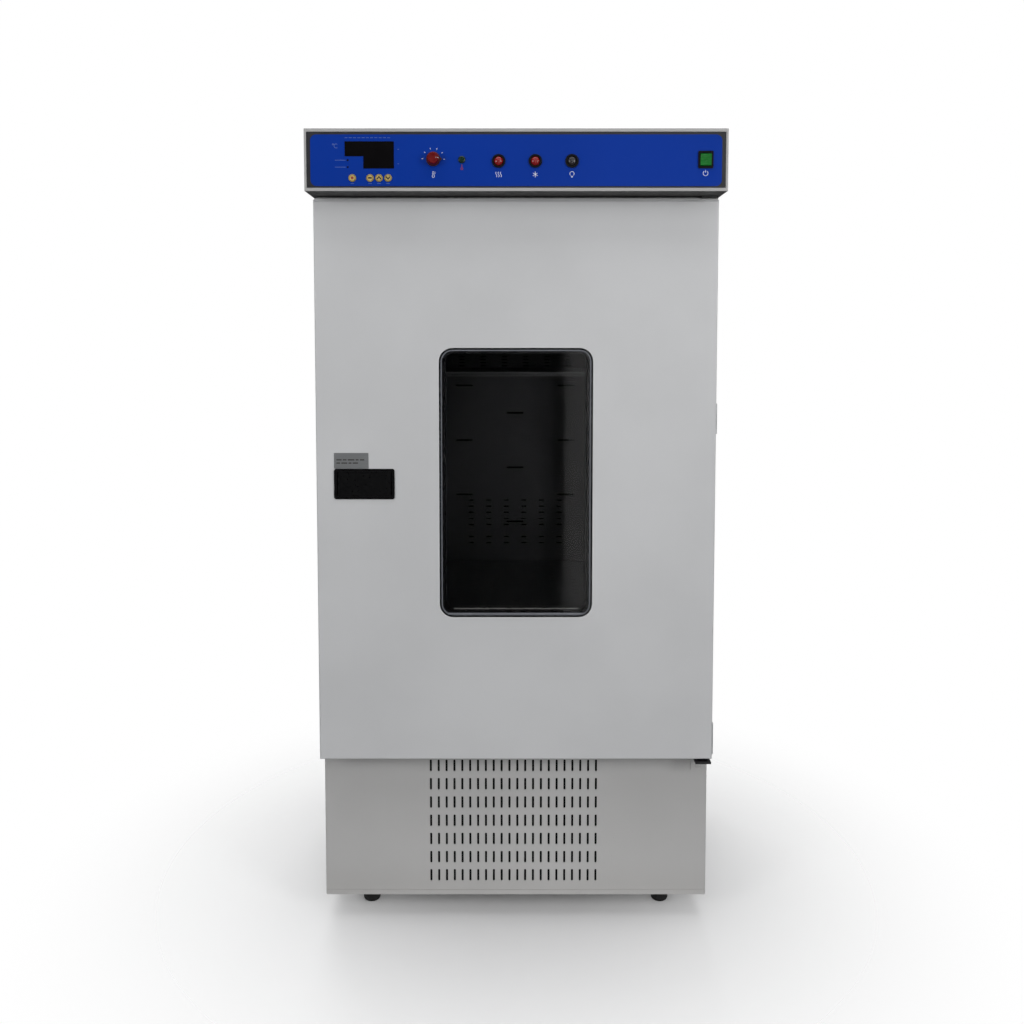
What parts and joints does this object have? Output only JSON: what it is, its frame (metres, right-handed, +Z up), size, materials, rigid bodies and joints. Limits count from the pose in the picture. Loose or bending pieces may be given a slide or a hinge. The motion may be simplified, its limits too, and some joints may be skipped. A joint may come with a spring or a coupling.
{
  "type": "laboratory cooling incubator",
  "caption": "Tall floor-standing insulated incubator with a right-hinged windowed door, slotted machine compartment and overhanging control header.",
  "frame": {"origin": "middle of the whole object's footprint, on the floor", "axes": "+Z up, +X to the viewer's right at the front, +Y to the back; the door faces -Y"},
  "size_m": [0.712, 0.7161, 1.43],
  "materials": {
    "cabinet_paint": "light grey powder coat, fine orange peel",
    "door_paint": "light grey powder coat",
    "stainless": "satin stainless sheet",
    "galvanised": "bare galvanised sheet",
    "foam": "rigid insulation foam",
    "black_plastic": "black moulded plastic",
    "breaker_plastic": "light grey plastic breaker frame",
    "rubber_black": "black rubber",
    "gasket_grey": "blue-grey extruded gasket",
    "seal_grey": "grey magnetic bellows seal",
    "clear_glass": "clear toughened glass",
    "panel_black": "black powder-coated panel",
    "overlay_blue": "blue printed polyester film",
    "display_black": "smoked display window",
    "key_cream": "cream keys with dark symbols",
    "button_red": "translucent red lens",
    "button_black": "black button",
    "knob_red": "red knob",
    "lamp_green": "dark green lens",
    "rocker_green": "translucent green rocker",
    "aluminium": "mill aluminium",
    "copper": "copper tube",
    "black_steel": "black enamelled steel",
    "screw_steel": "zinc-plated screws",
    "lamp_opal": "opal lamp cover"
  },
  "bodies": {
    "cabinet": {"base_pan": "cabinet_paint", "feet": "rubber_black", "base_front_grille": "cabinet_paint", "left_side_panel": "cabinet_paint", "right_side_panel": "cabinet_paint", "rear_panel": "cabinet_paint", "rear_service_cover": "cabinet_paint", "machine_deck": "galvanised", "mains_inlet": "black_plastic", "insulation_boards": "foam", "chamber_liner": "stainless", "front_frame": "breaker_plastic", "strike_plate": "stainless", "air_duct_panel": "stainless", "shelf_runners": "stainless", "temperature_probe": "stainless", "chamber_lamp": "lamp_opal", "circulation_fan_motor": "galvanised", "evaporator": "aluminium", "heater_element": "stainless", "condenser": "aluminium", "condenser_fan_motor": "galvanised", "compressor": "black_steel", "refrigerant_pipes": "copper", "hinge_brackets": "black_steel", "header_cover": "cabinet_paint", "header_floor": "cabinet_paint", "header_front_panel": "panel_black", "control_overlay": "overlay_blue", "display_window": "display_black", "controller_module": "black_plastic", "alarm_lamp": "lamp_green", "panel_device_bodies": "black_plastic", "power_switch_housing": "black_plastic", "fasteners": "screw_steel"},
    "door": {"door_outer_panel": "door_paint", "door_inner_panel": "stainless", "door_insulation": "foam", "window_gasket": "gasket_grey", "outer_glass": "clear_glass", "window_spacer": "stainless", "inner_glass": "clear_glass", "door_seal": "seal_grey", "latch_housing": "black_plastic", "hinge_bushes": "black_plastic"},
    "upper_shelf": {"upper_shelf": "stainless"},
    "lower_shelf": {"lower_shelf": "stainless"},
    "circulation_fan": {"circulation_fan": "aluminium"},
    "condenser_fan": {"condenser_fan": "black_plastic"},
    "handle_paddle": {"handle_paddle": "black_plastic"},
    "latch_bolt": {"latch_bolt": "galvanised"},
    "thermostat_knob": {"thermostat_knob": "knob_red"},
    "power_rocker": {"power_rocker": "rocker_green"},
    "key_set": {"key_set": "key_cream"},
    "key_minus": {"key_minus": "key_cream"},
    "key_up": {"key_up": "key_cream"},
    "key_down": {"key_down": "key_cream"},
    "heating_button": {"heating_button": "button_red"},
    "cooling_button": {"cooling_button": "button_red"},
    "lighting_button": {"lighting_button": "button_black"}
  },
  "joints": [
    {"name": "door_swing", "type": "hinge", "parent": "cabinet", "child": "door", "pos_m": [0.337, -0.2735, 0.324], "axis": [0, 0, 1], "range_deg": [0, 120]},
    {"name": "handle_pull", "type": "hinge", "parent": "door", "child": "handle_paddle", "pos_m": [-0.3119, -0.283, 0.823], "axis": [0, 0, -1], "range_deg": [0, 35], "stiffness_Nm_per_rad": 0.4},
    {"name": "latch_retract", "type": "slide", "parent": "door", "child": "latch_bolt", "axis": [1, 0, 0], "range_m": [0, 0.008]},
    {"name": "upper_shelf_slide", "type": "slide", "parent": "cabinet", "child": "upper_shelf", "axis": [0, -1, 0], "range_m": [0, 0.048]},
    {"name": "lower_shelf_slide", "type": "slide", "parent": "cabinet", "child": "lower_shelf", "axis": [0, -1, 0], "range_m": [0, 0.048]},
    {"name": "thermostat_turn", "type": "hinge", "parent": "cabinet", "child": "thermostat_knob", "pos_m": [-0.1389, -0.3426, 1.3786], "axis": [0, -1, 0], "range_deg": [0, 270]},
    {"name": "power_rocker_tilt", "type": "hinge", "parent": "cabinet", "child": "power_rocker", "pos_m": [0.3176, -0.3416, 1.3778], "axis": [-1, 0, 0], "range_deg": [0, 14]},
    {"name": "heating_button_press", "type": "slide", "parent": "cabinet", "child": "heating_button", "axis": [0, 1, 0], "range_m": [0, 0.003], "stiffness_N_per_m": 600},
    {"name": "cooling_button_press", "type": "slide", "parent": "cabinet", "child": "cooling_button", "axis": [0, 1, 0], "range_m": [0, 0.003], "stiffness_N_per_m": 600},
    {"name": "lighting_button_press", "type": "slide", "parent": "cabinet", "child": "lighting_button", "axis": [0, 1, 0], "range_m": [0, 0.003], "stiffness_N_per_m": 600},
    {"name": "key_set_press", "type": "slide", "parent": "cabinet", "child": "key_set", "axis": [0, 1, 0], "range_m": [0, 0.0008], "stiffness_N_per_m": 1000},
    {"name": "key_minus_press", "type": "slide", "parent": "cabinet", "child": "key_minus", "axis": [0, 1, 0], "range_m": [0, 0.0008], "stiffness_N_per_m": 1000},
    {"name": "key_up_press", "type": "slide", "parent": "cabinet", "child": "key_up", "axis": [0, 1, 0], "range_m": [0, 0.0008], "stiffness_N_per_m": 1000},
    {"name": "key_down_press", "type": "slide", "parent": "cabinet", "child": "key_down", "axis": [0, 1, 0], "range_m": [0, 0.0008], "stiffness_N_per_m": 1000},
    {"name": "circulation_fan_spin", "type": "hinge", "parent": "cabinet", "child": "circulation_fan", "pos_m": [0, 0.228, 1.17], "axis": [0, 1, 0], "continuous": true},
    {"name": "condenser_fan_spin", "type": "hinge", "parent": "cabinet", "child": "condenser_fan", "pos_m": [-0.06, -0.1945, 0.14], "axis": [0, 1, 0], "continuous": true}
  ],
  "couplings": [
    {"joint": "latch_retract", "follows": "handle_pull", "m_per_rad": 0.013083}
  ]
}
